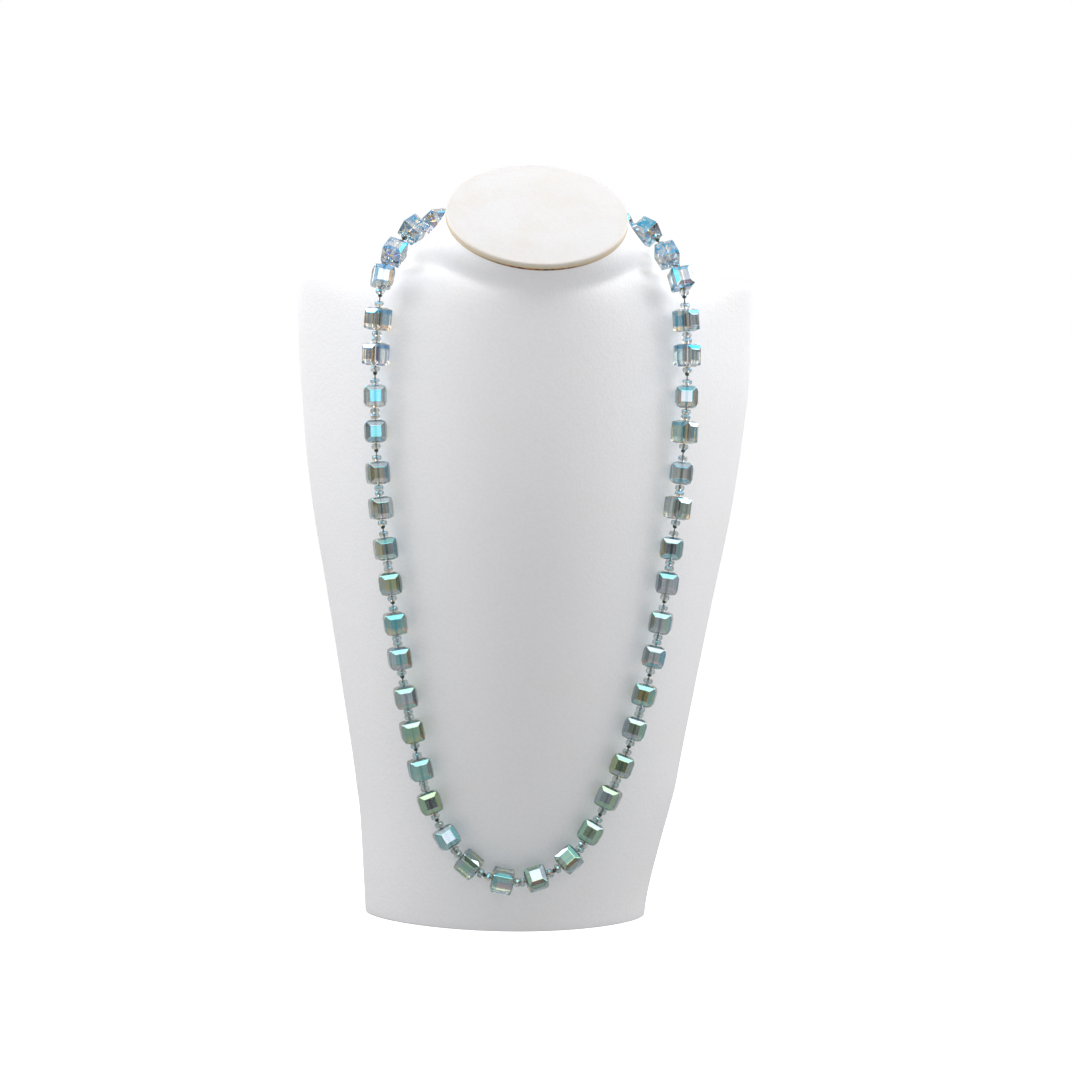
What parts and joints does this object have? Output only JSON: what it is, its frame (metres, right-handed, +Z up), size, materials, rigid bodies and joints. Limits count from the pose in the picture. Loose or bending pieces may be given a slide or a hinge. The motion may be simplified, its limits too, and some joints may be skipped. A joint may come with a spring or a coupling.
{
  "type": "beaded necklace on neck bust",
  "caption": "Long closed string of square faceted glass beads with small round glass beads between, lying on a plain white leatherette neck bust that holds it for display.",
  "frame": {"origin": "on the surface that the bust stands on, under the middle of the whole object's box", "axes": "+Z up, the chest looks along -Y, +X to the right as seen from the front"},
  "size_m": [0.205, 0.088, 0.3394],
  "materials": {
    "white_leatherette": "fine-grained matt white leatherette, glued over a hard form",
    "cream_leatherette": "the same leatherette, aged to cream, with a few faint stains",
    "coated_glass": "smoky grey-green pressed glass with a polished iridescent coating",
    "small_bead_glass": "clear grey-blue polished glass",
    "thread": "dark green twisted thread, knotted between pairs of beads"
  },
  "bodies": {
    "root": {"bust_body": "white_leatherette", "neck_cap": "cream_leatherette", "string": "small_bead_glass", "cube_01": "coated_glass", "cube_02": "coated_glass", "cube_03": "coated_glass", "cube_04": "coated_glass", "cube_05": "coated_glass", "cube_06": "coated_glass", "cube_07": "coated_glass", "cube_08": "coated_glass", "cube_09": "coated_glass", "cube_10": "coated_glass", "cube_11": "coated_glass", "cube_12": "coated_glass", "cube_13": "coated_glass", "cube_14": "coated_glass", "cube_15": "coated_glass", "cube_16": "coated_glass", "cube_17": "coated_glass", "cube_18": "coated_glass", "cube_19": "coated_glass", "cube_20": "coated_glass", "cube_21": "coated_glass", "cube_22": "coated_glass", "cube_23": "coated_glass", "cube_24": "coated_glass", "cube_25": "coated_glass", "cube_26": "coated_glass", "cube_27": "coated_glass", "cube_28": "coated_glass", "cube_29": "coated_glass", "cube_30": "coated_glass", "cube_31": "coated_glass", "cube_32": "coated_glass", "cube_33": "coated_glass", "cube_34": "coated_glass", "cube_35": "coated_glass", "cube_36": "coated_glass", "cube_37": "coated_glass", "cube_38": "coated_glass", "cube_39": "coated_glass", "cube_40": "coated_glass", "cube_41": "coated_glass", "cube_42": "coated_glass", "cube_43": "coated_glass", "cube_44": "coated_glass", "cube_45": "coated_glass", "cube_46": "coated_glass"}
  },
  "joints": []
}
